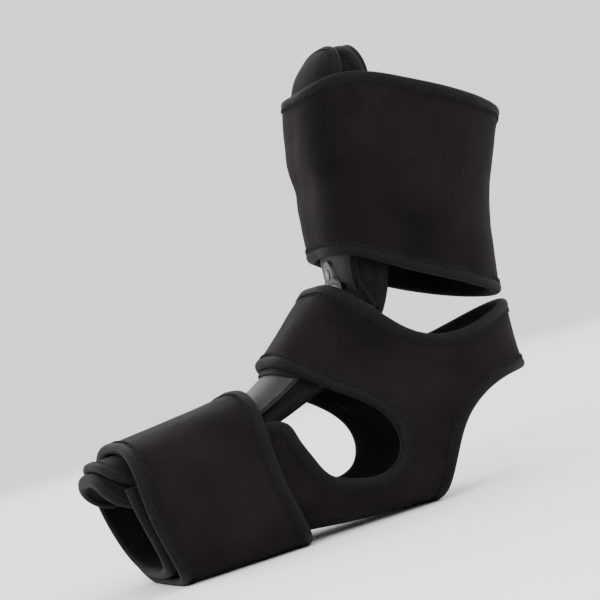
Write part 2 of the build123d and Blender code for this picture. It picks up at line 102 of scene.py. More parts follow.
# ---- camera
AZIMUTH, ELEVATION, ROLL = (math.radians(angle) for angle in (163.4, -0.3, -16.4))
DISTANCE = 1.2
LENS, SENSOR = 141.7, 36.0  # in millimetres
CLIP_END = 20.0
TARGET = Vector((-0.054, 0.0, 0.117))


def aim_camera():
    level = math.cos(ELEVATION)
    back = Vector((math.sin(AZIMUTH) * level, -math.cos(AZIMUTH) * level, math.sin(ELEVATION)))
    right = Vector((0, 0, 1)).cross(back).normalized()
    up = back.cross(right)
    rolled_right = math.cos(ROLL) * right + math.sin(ROLL) * up
    rolled_up = math.cos(ROLL) * up - math.sin(ROLL) * right
    camera = bpy.data.objects.new("camera", bpy.data.cameras.new("camera"))
    camera.data.lens = LENS
    camera.data.sensor_width = SENSOR
    camera.data.clip_end = CLIP_END
    rows = Matrix((rolled_right, rolled_up, back)).transposed().to_4x4()
    rows.translation = TARGET + DISTANCE * back
    camera.matrix_world = rows
    bpy.context.scene.collection.objects.link(camera)
    bpy.context.scene.camera = camera


aim_camera()


# ---- curves and surfaces
def unit(rows):
    return rows / np.linalg.norm(rows, axis=-1)[..., None]


def step_lengths(points):
    return np.linalg.norm(np.diff(points, axis=0), axis=1)


def running_length(points):
    """The length of the run of points up to each of them."""
    return np.concatenate([[0], np.cumsum(step_lengths(points))])


def directions(points, closed):
    """Unit directions along a run of points."""
    if closed:
        return unit(np.roll(points, -1, axis=0) - np.roll(points, 1, axis=0))
    return unit(np.gradient(points, axis=0))


def natural_spline(knots, values):
    """The natural cubic spline through the rows of values at the knots, as a function."""
    knots = np.asarray(knots, float)
    values = np.asarray(values, float)
    gaps = np.diff(knots)
    count = len(knots)
    system = np.zeros((count, count))
    right = np.zeros((count, values.shape[1]))
    system[0, 0] = system[-1, -1] = 1.0
    for i in range(1, count - 1):
        system[i, i - 1 : i + 2] = gaps[i - 1], 2 * (gaps[i - 1] + gaps[i]), gaps[i]
        ahead = (values[i + 1] - values[i]) / gaps[i]
        behind = (values[i] - values[i - 1]) / gaps[i - 1]
        right[i] = 3 * (ahead - behind)
    bend = np.linalg.solve(system, right)

    def curve(t):
        t = np.clip(t, knots[0], knots[-1])
        i = np.clip(np.searchsorted(knots, t, side="right") - 1, 0, count - 2)
        h, s = gaps[i][..., None], (t - knots[i])[..., None]
        slope = (values[i + 1] - values[i]) / h - h * (2 * bend[i] + bend[i + 1]) / 3
        return values[i] + s * (slope + s * (bend[i] + s * (bend[i + 1] - bend[i]) / (3 * h)))

    return curve


class Form:
    """A surface lofted through egg-shaped rings.

    A ring is its front (x, z), its back (x, z), half width, front power and back power. A place on the
    surface is u, the angle from the front, and v, the share of the form's length.
    """

    NORMAL_STEP = 1e-3
    SLOPE_STEP = 1e-4
    MOST_TURN, MOST_SHIFT = 0.3, 0.05  # of u and v, in one round of settling

    def __init__(self, rings):
        rows = []
        for front, back, half_width, front_power, back_power in rings:
            rows.append((*at(*front), *at(*back), SIZE * half_width, front_power, back_power))
        rows = np.array(rows)
        middles = (rows[:, 0:2] + rows[:, 2:4]) / 2
        fronts = rows[:, 0:2]
        steps = step_lengths(middles) + step_lengths(fronts)
        self.knots = np.concatenate([[0], np.cumsum(steps)]) / steps.sum()
        self.ring = natural_spline(self.knots, rows)
        self.length = steps.sum() / 2

    def point(self, u, v, inset):
        """Points of the surface, taken in by inset."""
        row = self.ring(v)
        front, back = row[..., 0:2], row[..., 2:4]
        run = front - back
        depth = np.linalg.norm(run, axis=-1)
        cos, sin = np.cos(u), np.sin(u)
        power = np.where(cos > 0, row[..., 5], row[..., 6])
        a, b = depth / 2 - inset, row[..., 4] - inset
        reach = (np.abs(cos / a) ** power + np.abs(sin / b) ** power) ** (-1 / power)
        middle = (front + back) / 2 + (reach * cos)[..., None] * unit(run)
        return np.stack([middle[..., 0], reach * sin, middle[..., 1]], axis=-1)

    def normal(self, u, v, inset):
        step = self.NORMAL_STEP
        along = self.point(u + step, v, inset) - self.point(u - step, v, inset)
        after, before = np.minimum(v + step, 1), np.maximum(v - step, 0)
        down = self.point(u, after, inset) - self.point(u, before, inset)
        out = unit(np.cross(along, down))
        outward = self.point(u, v, inset) - self.point(u, v, inset + MM)
        return out * np.sign((out * outward).sum(-1))[..., None]

    def settle(self, target, u, v, inset):
        """The surface places nearest to the targets, starting from places near them."""
        for _ in range(4):
            here = self.point(u, v, inset)
            step_u = (self.point(u + self.SLOPE_STEP, v, inset) - here) / self.SLOPE_STEP
            step_v = (self.point(u, v + self.SLOPE_STEP, inset) - here) / self.SLOPE_STEP
            miss = target - here
            uu, uv, vv = (step_u**2).sum(-1), (step_u * step_v).sum(-1), (step_v**2).sum(-1)
            mu, mv = (step_u * miss).sum(-1), (step_v * miss).sum(-1)
            det = np.maximum(uu * vv - uv * uv, 1e-14)
            u = u + np.clip((vv * mu - uv * mv) / det, -self.MOST_TURN, self.MOST_TURN)
            shift = np.clip((uu * mv - uv * mu) / det, -self.MOST_SHIFT, self.MOST_SHIFT)
            v = np.clip(v + shift, 0, 1)
        return u, v


CALF_RINGS = [
    ((-28, 257), (-101, 235), 33.0, 3.0, 2.0),
    ((-6, 253), (-98, 222), 40.0, 3.2, 2.0),
    ((13, 243), (-95, 208), 45.0, 3.2, 2.0),
    ((23.5, 223), (-90, 194), 46.5, 3.2, 2.0),
    ((28.5, 190), (-77.5, 167), 45.0, 3.4, 2.0),
    ((31, 160), (-67.5, 141), 41.5, 3.4, 2.0),
    ((33, 140), (-63.5, 121), 39.5, 3.4, 2.0),
    ((34, 124), (-61, 105), 38.5, 3.4, 2.0),
    ((34, 108), (-59, 90), 38.0, 3.4, 2.0),
    ((33, 92), (-58, 75), 38.0, 3.4, 2.0),
]
ANKLE_RINGS = [
    ((37.5, 133.5), (-61.5, 103), 40.0, 3.8, 2.0),
    ((41.5, 126.3), (-61, 91), 40.5, 3.8, 2.0),
    ((49.2, 120.2), (-59.5, 68), 41.0, 3.6, 2.2),
    ((58.5, 112.6), (-60, 42), 41.5, 3.4, 2.4),
    ((68.2, 104.4), (-54, 14), 41.5, 3.4, 2.6),
    ((77.4, 96.8), (-22, 0.84), 41.5, 3.3, 2.8),
    ((87.4, 90), (18, 0.84), 42.0, 3.2, 3.0),
    ((97, 86), (54, 2.4), 43.5, 3.0, 3.0),
    ((112, 83.2), (86, 5.6), 45.6, 3.0, 3.0),
    ((136, 80.2), (112, 5.7), 47.2, 3.0, 3.0),
    ((160, 77.6), (137, 5.5), 47.2, 3.0, 3.0),
    ((176, 76.1), (153, 5.4), 46.8, 3.0, 3.0),
    ((192, 74.7), (169, 5.2), 46.2, 3.0, 3.0),
]
FOREFOOT_RINGS = [
    ((84, 92), (58, -0.8), 47.0, 3.0, 4.0),
    ((95, 87.2), (74, -0.8), 50.0, 3.0, 4.0),
    ((112, 83.8), (95, -0.8), 52.5, 3.0, 4.0),
    ((136, 80.8), (121, -0.8), 54.0, 3.0, 4.0),
    ((160, 78.2), (148, -0.8), 54.6, 3.0, 4.0),
    ((186, 76), (175, -0.8), 54.0, 3.0, 4.0),
]
FOOT_RINGS = [
    ((22, 127), (-36, 76), 33.5, 3.4, 2.0),
    ((32.5, 120.4), (-16, 60), 34.0, 3.4, 2.0),
    ((46, 111.6), (6, 44), 34.5, 3.4, 2.0),
    ((60, 101.4), (24, 30), 34.5, 3.2, 2.0),
    ((77.7, 89.6), (44, 19), 34.5, 3.0, 2.0),
    ((91.8, 82), (64, 9), 35.0, 3.0, 2.0),
    ((105, 78), (86, 5), 37.0, 2.8, 2.0),
    ((124, 75.4), (114, 5), 39.0, 2.8, 2.0),
    ((148, 73), (140, 5), 40.0, 2.8, 2.0),
    ((172, 70.6), (165, 5), 40.0, 2.8, 2.0),
    ((196, 71.4), (190, 5), 39.0, 2.8, 2.0),
]
CALF, ANKLE, FOREFOOT, FOOT_TOP = map(Form, (CALF_RINGS, ANKLE_RINGS, FOREFOOT_RINGS, FOOT_RINGS))


class Edge:
    """A curve in the side view. Cloth lies on the far side of it from its corners."""

    SAMPLES = 360
    BATCH = 4000  # places measured at a time, to save memory

    def __init__(self, points, corners):
        points, corners = np.asarray(points), np.asarray(corners)
        knots = running_length(points)
        self.line = natural_spline(knots, points)(np.linspace(0, knots[-1], self.SAMPLES))
        ring = np.concatenate([points, corners])
        after = np.roll(ring, -1, axis=0)
        turn = (ring[:, 0] * after[:, 1] - after[:, 0] * ring[:, 1]).sum()
        self.sign = -1.0 if turn > 0 else 1.0

    def signed(self, place):
        """Distance from the curve in the side view, positive on the cloth's side."""
        flat = place[..., [0, 2]].reshape(-1, 2)
        result = np.empty(len(flat))
        start, run = self.line[:-1], np.diff(self.line, axis=0)
        size = (run**2).sum(1)
        for low in range(0, len(flat), self.BATCH):
            part = flat[low : low + self.BATCH]
            off = part[:, None] - start[None]
            share = np.clip((off * run[None]).sum(-1) / size, 0, 1)
            miss = off - share[..., None] * run[None]
            far2 = (miss**2).sum(-1)
            best = far2.argmin(1)
            rows = np.arange(len(part))
            cross = run[best, 0] * off[rows, best, 1] - run[best, 1] * off[rows, best, 0]
            result[low : low + self.BATCH] = np.sqrt(far2[rows, best]) * np.sign(cross)
        return self.sign * result.reshape(place.shape[:-1])


class Kept:
    """The same curve, for a piece that lies on the corners' side of it."""

    def __init__(self, edge):
        self.edge = edge

    def signed(self, place):
        return -self.edge.signed(place)


EDGES = {
    "calf_top": Edge(
        drawn(
            (40, 221), (26, 227), (13, 230.5), (0, 229.5), (-26, 219.5), (-58, 204.5), (-88, 191),
            (-110, 182),
        ),
        drawn((-150, 182), (-150, 290), (90, 290), (90, 221)),
    ),
    "calf_bottom": Edge(
        drawn((55, 142), (34, 140.5), (19, 133.6), (3, 124), (-27, 108.6), (-60, 94.5), (-90, 84)),
        drawn((-150, 84), (-150, 20), (90, 20), (90, 142)),
    ),
    "ankle_top": Edge(
        drawn(
            (60, 140), (40, 127), (30, 116), (18.5, 102.6), (9, 93), (-5, 85.6), (-24, 84.6), (-55, 91.5),
            (-90, 98),
        ),
        drawn((-150, 98), (-150, 200), (60, 200)),
    ),
    "heel": Edge(
        drawn((-90, 56), (-60, 54), (-41, 53), (-26, 49), (-12, 40), (0, 22), (8, 0), (11, -30)),
        drawn((-150, -30), (-150, 56)),
    ),
    "instep": Edge(
        drawn(
            (110, 120), (80, 95.6), (68, 83), (55, 71.5), (42, 61.5), (32.5, 50), (30, 38.7), (35, 27.5),
            (46, 23.6), (60, 26.5), (71, 31.5), (78, 44), (82.2, 55), (85, 63.5), (92, 67), (112, 64),
            (150, 58), (200, 56),
        ),
        drawn((240, 56), (240, 120)),
    ),
    "sole_front": Edge(
        drawn((178, 100), (175.5, 45), (164.5, 2), (158, -20)),
        drawn((240, -20), (240, 100)),
    ),
    "forefoot_rear": Edge(
        drawn((97, 110), (97.5, 86), (98.5, 45), (88, 0), (80, -25)),
        drawn((20, -25), (20, 110)),
    ),
    "forefoot_front": Edge(
        drawn((171, 110), (171, 78), (171.5, 45), (161, 0), (153, -25)),
        drawn((240, -25), (240, 110)),
    ),
    "shin_shell": Edge(
        drawn(
            (2, 262), (3.5, 246), (7, 229), (11, 205), (15.5, 175), (19.5, 148), (23.5, 126), (22, 108),
            (18, 85),
        ),
        drawn((90, 85), (90, 262)),
    ),
    "sleeve_lower": Edge(drawn((90, 196), (20, 204), (-60, 206)), drawn((-60, 60), (90, 60))),
    "foot_shell": Edge(
        drawn(
            (0, 108), (30, 104), (52, 94), (72.5, 82.2), (95.5, 71.5), (124, 63), (150, 59.5), (169, 62),
            (180, 76), (182, 95),
        ),
        drawn((182, 160), (0, 160)),
    ),
    "foot_sleeve_rear": Edge(drawn((147, 170), (150, 70), (146, -20)), drawn((-100, -20), (-100, 170))),
}


class Inside:
    """Cloth's side of an edge, taken in by a margin."""

    def __init__(self, edge, margin):
        self.edge, self.margin = edge, margin

    def signed(self, place):
        return self.edge.signed(place) - self.margin


# ---- grids cut to outlines
def ring_angles(form, count):
    """Angles that divide the middle ring into equal lengths, from the back round to the back."""
    fine = np.linspace(-math.pi, math.pi, 4001)
    ring = form.point(fine, np.full_like(fine, 0.5), 0.0)
    run = running_length(ring)
    return np.interp(np.linspace(0, run[-1], count + 1)[:-1], run, fine)


class Patch:
    """A grid on a form, cut to the places where every limit's signed distance is positive."""

    def __init__(self, form, limits, around=200, pitch=1.5 * MM, inset=0.0):
        self.form, self.inset = form, inset
        down = max(int(form.length / pitch), 20)
        angles = ring_angles(form, around)
        shares = np.linspace(0, 1, down + 1)
        u, v = np.meshgrid(angles, shares)
        self.u, self.v = u.ravel(), v.ravel()
        rows, columns = np.arange(down)[:, None] * around, np.arange(around)[None]
        first, second = (rows + columns).ravel(), (rows + (columns + 1) % around).ravel()
        self.faces = np.stack([first, second, second + around, first + around], axis=1).tolist()
        self.lines = [self.cut(limit) for limit in limits]
        self.drop_unused()

    def places(self):
        return self.form.point(self.u, self.v, self.inset)

    def cut(self, limit):
        """Cuts the faces along a limit and returns the segments of the cut, as pairs of vertices."""
        value = limit.signed(self.places())
        kept, mixed = [], []
        inside = value >= 0
        for face in self.faces:
            flags = [inside[i] for i in face]
            if all(flags):
                kept.append(face)
            elif any(flags):
                mixed.append(face)
        crossing, ends, segments = {}, [], []
        count = len(self.u)
        for face in mixed:
            made, cross = [], []
            for i, j in zip(face, face[1:] + face[:1]):
                if inside[i]:
                    made.append(i)
                if inside[i] != inside[j]:
                    key = (min(i, j), max(i, j))
                    if key not in crossing:
                        crossing[key] = count + len(ends)
                        ends.append(key)
                    made.append(crossing[key])
                    cross.append(crossing[key])
            if len(made) >= 3:
                kept.append(made)
            if len(cross) == 2:
                segments.append(tuple(cross))
        if ends:
            a, b = np.array(ends).T
            u_a, v_a, u_b, v_b = self.u[a], self.v[a], self.u[b], self.v[b]
            u_b = u_a + (u_b - u_a + math.pi) % (2 * math.pi) - math.pi
            low, high, value_low, value_high = np.zeros(len(a)), np.ones(len(a)), value[a], value[b]
            for _ in range(4):
                share = low + (high - low) * value_low / (value_low - value_high)
                u, v = u_a + share * (u_b - u_a), v_a + share * (v_b - v_a)
                now = limit.signed(self.form.point(u, v, self.inset))
                same = np.sign(now) == np.sign(value_low)
                low, value_low = np.where(same, share, low), np.where(same, now, value_low)
                high, value_high = np.where(same, high, share), np.where(same, value_high, now)
            self.u, self.v = np.concatenate([self.u, u]), np.concatenate([self.v, v])
        self.faces = kept
        return segments

    def drop_unused(self):
        used = sorted({i for face in self.faces for i in face})
        place = {old: new for new, old in enumerate(used)}
        self.faces = [[place[i] for i in face] for face in self.faces]
        self.lines = [
            [(place[i], place[j]) for i, j in line if i in place and j in place] for line in self.lines
        ]
        self.u, self.v = self.u[used], self.v[used]

    def open_edges(self):
        seen = {}
        for face in self.faces:
            for i, j in zip(face, face[1:] + face[:1]):
                seen[(i, j)] = seen.get((i, j), 0) + 1
        return [(i, j) for (i, j) in seen if (j, i) not in seen]


def chains(segments):
    """Joins segments end to end into runs of vertices, closed where they meet."""
    near = {}
    for i, j in segments:
        near.setdefault(i, []).append(j)
        near.setdefault(j, []).append(i)
    runs, done = [], set()
    starts = [i for i in near if len(near[i]) == 1] + list(near)
    for start in starts:
        if start in done:
            continue
        run, here, before = [start], start, None
        done.add(start)
        while True:
            ahead = [i for i in near[here] if i != before and i not in done]
            if not ahead:
                break
            before, here = here, ahead[0]
            run.append(here)
            done.add(here)
        closed = len(run) > 2 and start in near[here]
        if len(run) > 8:
            runs.append((run, closed))
    return runs


# ---- small relief of worn cloth
def smooth(value):
    value = np.clip(value, 0, 1)
    return value * value * (3 - 2 * value)


def ripple(place, period, seed):
    """Smooth noise between about -1 and 1, the same on every run."""
    pick = np.random.default_rng(seed)
    total = np.zeros(place.shape[:-1])
    for _ in range(7):
        way = pick.normal(size=3)
        way *= 2 * math.pi / (period * pick.uniform(0.7, 1.5)) / np.linalg.norm(way)
        total += np.sin((place * way).sum(-1) + pick.uniform(0, 6.28))
    return total / 3.2


def bump_at(place, centre, reach):
    away = (place - np.array(centre)) / np.array(reach)
    return np.exp(-(away**2).sum(-1))


# height in millimetres, centre, reach
CALF_CREASES = [
    (-1.3, (-0.076, 0.0, 0.171), (0.012, 0.060, 0.007)),
    (0.8, (-0.076, 0.0, 0.184), (0.014, 0.060, 0.009)),
    (-0.5, (-0.084, 0.033, 0.165), (0.007, 0.02, 0.035)),
]
ANKLE_CREASE = (-0.5, (-0.055, 0.036, 0.072), (0.012, 0.02, 0.012))
SHELL_STEP = 0.45  # how far the calf wrap stands out over the shell, in millimetres
SHELL_LOW, SHELL_HIGH, SHELL_FADE = 0.128, 0.225, 0.02


def creased(place, creases):
    return sum(height * bump_at(place, centre, reach) for height, centre, reach in creases)


def off_sole(place):
    """Nothing on the sole, where the brace stands flat, and all of the relief above it."""
    return np.clip(place[..., 2] / 0.012 - 0.3, 0, 1)


def calf_relief(place):
    z = place[..., 2]
    relief = 0.35 * ripple(place, 0.055, 3) + 0.12 * ripple(place, 0.016, 4) + creased(place, CALF_CREASES)
    over_shell = -np.tanh(EDGES["shin_shell"].signed(place) / (3.5 * MM))
    fade = smooth((z - SHELL_LOW) / SHELL_FADE) * smooth((SHELL_HIGH - z) / SHELL_FADE)
    return (relief + SHELL_STEP * over_shell * fade) * MM


def ankle_relief(place):
    relief = 0.3 * ripple(place, 0.05, 5) + 0.12 * ripple(place, 0.018, 6) + creased(place, [ANKLE_CREASE])
    return np.maximum(relief, -0.5) * MM * off_sole(place)


def forefoot_relief(place):
    relief = 0.35 * ripple(place, 0.06, 7) + 0.1 * ripple(place, 0.02, 8)
    return np.clip(relief, -0.4, 0.8) * MM * off_sole(place)


def no_relief(place):
    return np.zeros(place.shape[:-1])


# ---- meshes
RIM_ROWS = 4  # of a half-round edge


def new_object(name, vertices, faces):
    """A smooth-shaded object; nothing in it goes below the CAD model."""
    vertices = np.array(vertices, float)
    vertices[:, 2] = np.maximum(vertices[:, 2], cad_bounds[0][2])
    mesh = bpy.data.meshes.new(name)
    mesh.from_pydata([tuple(p) for p in vertices], [], faces)
    mesh.validate()
    mesh.update()
    mesh.polygons.foreach_set("use_smooth", [True] * len(mesh.polygons))
    piece = bpy.data.objects.new(name, mesh)
    bpy.context.scene.collection.objects.link(piece)
    return piece


def skin(name, patch, outer, inner, relief=no_relief, rim=0.0, puff=None):
    """A closed sheet between two insets of the patch's form, with square or half-round edges."""
    place = patch.form.point(patch.u, patch.v, outer)
    normal = patch.form.normal(patch.u, patch.v, outer)
    swell = relief(place)[:, None]
    top = place + swell * normal
    bottom = patch.form.point(patch.u, patch.v, inner) + swell * normal
    if puff is not None:
        rise_out, rise_in = puff(place)
        top = top + rise_out[:, None] * normal
        bottom = bottom - rise_in[:, None] * normal
    count = len(place)
    faces = [list(face) for face in patch.faces]
    faces += [[i + count for i in reversed(face)] for face in patch.faces]
    edges = patch.open_edges()
    rows = RIM_ROWS if rim else 0
    vertices = [top, bottom]
    index = {}
    if edges:
        out = np.zeros((count, 3))
        for i, j in edges:
            along = top[j] - top[i]
            side = np.cross(along, normal[i])
            out[i] += side
            out[j] += side
        border = sorted({i for edge in edges for i in edge})
        size = np.linalg.norm(out[border], axis=1)
        out[border] /= np.maximum(size, 1e-12)[:, None]
        for step in range(rows):
            angle = math.pi * (step + 1) / (rows + 1)
            middle = (top[border] + bottom[border]) / 2
            ring = middle + math.cos(angle) * (top[border] - middle) + rim * math.sin(angle) * out[border]
            for k, i in enumerate(border):
                index[(i, step + 1)] = 2 * count + step * len(border) + k
            vertices.append(ring)
        for i in border:
            index[(i, 0)] = i
            index[(i, rows + 1)] = i + count
        for i, j in edges:
            for step in range(rows + 1):
                corners = ((j, step), (i, step), (i, step + 1), (j, step + 1))
                faces.append([index[corner] for corner in corners])
    return new_object(name, np.concatenate(vertices), faces)


def resample(points, closed, pitch):
    """Even steps along a run of rows, smoothed a little."""
    if closed:
        points = np.concatenate([points, points[:1]])
    run = running_length(points[:, :3])
    count = max(int(run[-1] / pitch), 8)
    where = np.linspace(0, run[-1], count + 1)
    if closed:
        where = where[:-1]
    rows = np.stack([np.interp(where, run, points[:, k]) for k in range(points.shape[1])], axis=1)
    for _ in range(3):
        before, after = np.roll(rows, 1, axis=0), np.roll(rows, -1, axis=0)
        mixed = 0.5 * rows + 0.25 * (before + after)
        if not closed:
            mixed[0], mixed[-1] = rows[0], rows[-1]
        else:
            jump = (np.abs(before[:, 3] - rows[:, 3]) > 2) | (np.abs(after[:, 3] - rows[:, 3]) > 2)
            mixed[jump] = rows[jump]
        rows = mixed
    return rows


def edge_runs(form, limit, others, inset, pitch=EDGE_STEP):
    """The edge curve on a form: rows of (x, y, z, cos u, sin u, v), with whether it is closed."""
    patch = Patch(form, [limit, *others], inset=inset)
    place = patch.places()
    runs = []
    for run, closed in chains(patch.lines[0]):
        rows = np.column_stack([place[run], np.cos(patch.u[run]), np.sin(patch.u[run]), patch.v[run]])
        runs.append((resample(rows, closed, pitch), closed))
    return runs


SIDE_PROBE = 2 * MM  # how far to each side of an edge its limit is read, to tell in from out


class Track:
    """An edge curve with a frame at each step, from which rows are set out over the cloth."""

    def __init__(self, form, run, closed, limit, inset, relief):
        self.form, self.closed, self.inset, self.relief = form, closed, inset, relief
        u = np.arctan2(run[:, 4], run[:, 3])
        self.u, self.v = form.settle(run[:, :3], u, run[:, 5], inset)
        self.place = form.point(self.u, self.v, inset)
        self.normal = form.normal(self.u, self.v, inset)
        inward = unit(np.cross(self.normal, directions(self.place, closed)))
        ahead = limit.signed(self.place + SIDE_PROBE * inward)
        behind = limit.signed(self.place - SIDE_PROBE * inward)
        self.inward = inward * np.sign(np.median(ahead - behind))

    def row(self, reach, rise, depth=0.0):
        """A row at a distance in from the edge, rising over the face at a depth below the outer one."""
        reach = np.broadcast_to(reach, self.u.shape)
        rise = np.broadcast_to(rise, self.u.shape)
        target = self.place + reach[:, None] * self.inward
        u, v = self.form.settle(target, self.u, self.v, self.inset)
        outer = self.form.point(u, v, self.inset)
        normal = self.form.normal(u, v, self.inset)
        return outer + (rise + self.relief(outer) - depth)[:, None] * normal


Binding = namedtuple("Binding", "width roll lip thickness")  # roll: how far in its rounded part reaches
Stitch = namedtuple("Stitch", "reach rise radius wave period sides", defaults=(0.0, None, 5))
TAPE_TURNS = 8  # steps round the tape's outer edge


def tape_rows(track, binding):
    """Rows of a folded edge tape, from its inner edge on the outer face round to the inner face."""
    width, roll, lip, thickness = binding
    half = thickness / 2 + lip
    rows = [
        track.row(width, 0.08 * MM),
        track.row(width - 0.25 * MM, 0.38 * lip),
        track.row(roll + 0.5 * MM, 0.42 * lip),
        track.row(roll, 0.62 * lip),
        track.row(roll - 0.5 * MM, 0.95 * lip),
        track.row(half * 1.15, 1.12 * lip),
    ]
    for step in range(TAPE_TURNS + 1):
        angle = math.pi * step / TAPE_TURNS
        rise = half * math.cos(angle) - thickness / 2
        rows.append(track.row(half * (1 - 0.96 * math.sin(angle)), rise))
    rows.append(track.row(roll - 0.5 * MM, 0.05 * lip, thickness))
    rows.append(track.row(width, 0.02 * MM, thickness))
    return rows


def sweep(name, bands):
    """One mesh of bands, each a list of rows and whether they close on themselves."""
    vertices, faces = [], []
    for rows, closed in bands:
        base = sum(len(v) for v in vertices)
        count, across = len(rows[0]), len(rows)
        vertices.extend(rows)
        for r in range(across):
            here, after = base + r * count, base + (r + 1) % across * count
            for k in range(count if closed else count - 1):
                ahead = (k + 1) % count
                faces.append([here + k, here + ahead, after + ahead, after + k])
        if not closed:
            faces.append([base + r * count for r in range(across)])
            faces.append([base + r * count + count - 1 for r in reversed(range(across))])
    return new_object(name, np.concatenate(vertices), faces)


THREAD_FLATNESS = 0.7


def thread(track, stitch):
    """A round thread along a track, and whether it closes; a wave swings it to and fro."""
    count = len(track.u)
    swing = np.full(count, stitch.reach)
    if stitch.wave:
        cycles = max(round(count * step_lengths(track.place).mean() / stitch.period), 1)
        swing = swing + stitch.wave * np.sin(np.arange(count) / count * cycles * 2 * math.pi)
    middle = track.row(swing, stitch.rise)
    along = directions(middle, track.closed)
    side = unit(np.cross(along, track.normal))
    up = np.cross(side, along)
    rows = []
    for k in range(stitch.sides):
        angle = 2 * math.pi * k / stitch.sides
        across = math.cos(angle) * side + THREAD_FLATNESS * math.sin(angle) * up
        rows.append(middle + stitch.radius * across)
    return rows, track.closed


def sew(form, limit, others, inset, relief, stitch, pitch=EDGE_STEP):
    """Threads along an edge."""
    threads = []
    for run, closed in edge_runs(form, limit, others, inset, pitch):
        threads.append(thread(Track(form, run, closed, limit, inset, relief), stitch))
    return threads


def bind(form, limit, others, inset, relief, binding, stitch=None):
    """Tapes over an edge, and the threads on their flanges."""
    tapes, threads = [], []
    for run, closed in edge_runs(form, limit, others, inset):
        track = Track(form, run, closed, limit, inset, relief)
        tapes.append((tape_rows(track, binding), closed))
        if stitch:
            fine = resample(run, closed, STITCH_STEP)
            threads.append(thread(Track(form, fine, closed, limit, inset, relief), stitch))
    return tapes, threads


# ---- materials
def node_material(name):
    material = bpy.data.materials.new(name)
    material.use_nodes = True
    tree = material.node_tree
    shader = tree.nodes["Principled BSDF"]
    return material, tree, shader


def link(tree, source, target):
    tree.links.new(source, target)


def noise_node(tree, scale, detail=3.0, roughness=0.55, distortion=0.0):
    node = tree.nodes.new("ShaderNodeTexNoise")
    node.inputs["Scale"].default_value = scale
    node.inputs["Detail"].default_value = detail
    node.inputs["Roughness"].default_value = roughness
    node.inputs["Distortion"].default_value = distortion
    link(tree, coordinates(tree), node.inputs["Vector"])
    return node


def coordinates(tree):
    for node in tree.nodes:
        if node.bl_idname == "ShaderNodeTexCoord":
            return node.outputs["Object"]
    return tree.nodes.new("ShaderNodeTexCoord").outputs["Object"]


def ramp_node(tree, source, stops):
    node = tree.nodes.new("ShaderNodeValToRGB")
    ramp = node.color_ramp
    while len(ramp.elements) < len(stops):
        ramp.elements.new(0.5)
    for element, (place, colour) in zip(ramp.elements, stops):
        element.position = place
        element.color = (*colour, 1.0)
    link(tree, source, node.inputs["Fac"])
    return node


def set_bumps(tree, shader, *bumps):
    """Bumps one over another, each a source, a strength and a distance."""
    before = None
    for source, strength, distance in bumps:
        node = tree.nodes.new("ShaderNodeBump")
        node.inputs["Strength"].default_value = strength
        node.inputs["Distance"].default_value = distance
        link(tree, source, node.inputs["Height"])
        if before is not None:
            link(tree, before.outputs["Normal"], node.inputs["Normal"])
        before = node
    link(tree, before.outputs["Normal"], shader.inputs["Normal"])


def range_node(tree, source, low, high):
    node = tree.nodes.new("ShaderNodeMapRange")
    node.inputs["To Min"].default_value = low
    node.inputs["To Max"].default_value = high
    link(tree, source, node.inputs["Value"])
    return node


def set_colour(tree, shader, factor, base, marks):
    """The base colour, darkened and lightened by the marks where the factor is high."""
    node = tree.nodes.new("ShaderNodeMix")
    node.data_type = "RGBA"
    node.blend_type = "MULTIPLY"
    link(tree, factor, node.inputs["Factor"])
    link(tree, base.outputs["Color"], node.inputs["A"])
    link(tree, marks.outputs["Color"], node.inputs["B"])
    link(tree, node.outputs["Result"], shader.inputs["Base Color"])


def set_roughness(tree, shader, source, low, high):
    link(tree, range_node(tree, source, low, high).outputs["Result"], shader.inputs["Roughness"])


def wave_node(tree, direction, scale, distortion):
    node = tree.nodes.new("ShaderNodeTexWave")
    node.bands_direction = direction
    node.inputs["Scale"].default_value = scale
    node.inputs["Distortion"].default_value = distortion
    node.inputs["Detail"].default_value = 1.0
    node.inputs["Detail Scale"].default_value = 3.0
    link(tree, coordinates(tree), node.inputs["Vector"])
    return node


CLOTH_SHEEN_TINT = (0.6, 0.5, 0.6)


def cloth_material(name, dark, light, knit=900.0, bump=0.35, sheen=0.02):
    """A knitted face: fine loops, broad shade changes, a pale bloom where it has been rubbed."""
    material, tree, shader = node_material(name)
    broad = noise_node(tree, 22.0, 4.0, 0.6)
    fine = noise_node(tree, 420.0, 2.0, 0.6)
    loops = tree.nodes.new("ShaderNodeTexVoronoi")
    loops.inputs["Scale"].default_value = knit
    loops.inputs["Randomness"].default_value = 0.35
    link(tree, coordinates(tree), loops.inputs["Vector"])
    rub = noise_node(tree, 60.0, 5.0, 0.7, 0.4)
    base = ramp_node(tree, broad.outputs["Fac"], [(0.3, dark), (0.72, light)])
    specks = ramp_node(tree, fine.outputs["Fac"], [(0.4, (0.75, 0.75, 0.75)), (0.68, (1.25, 1.22, 1.25))])
    set_colour(tree, shader, rub.outputs["Fac"], base, specks)
    set_roughness(tree, shader, rub.outputs["Fac"], 0.78, 0.92)
    shader.inputs["Specular IOR Level"].default_value = 0.08
    shader.inputs["Sheen Weight"].default_value = sheen
    shader.inputs["Sheen Roughness"].default_value = 0.45
    shader.inputs["Sheen Tint"].default_value = (*CLOTH_SHEEN_TINT, 1.0)
    loop, speck, swell = loops.outputs["Distance"], fine.outputs["Fac"], broad.outputs["Fac"]
    set_bumps(tree, shader, (loop, bump, 0.00035), (speck, bump * 0.7, 0.0004), (swell, 0.25, 0.002))
    return material


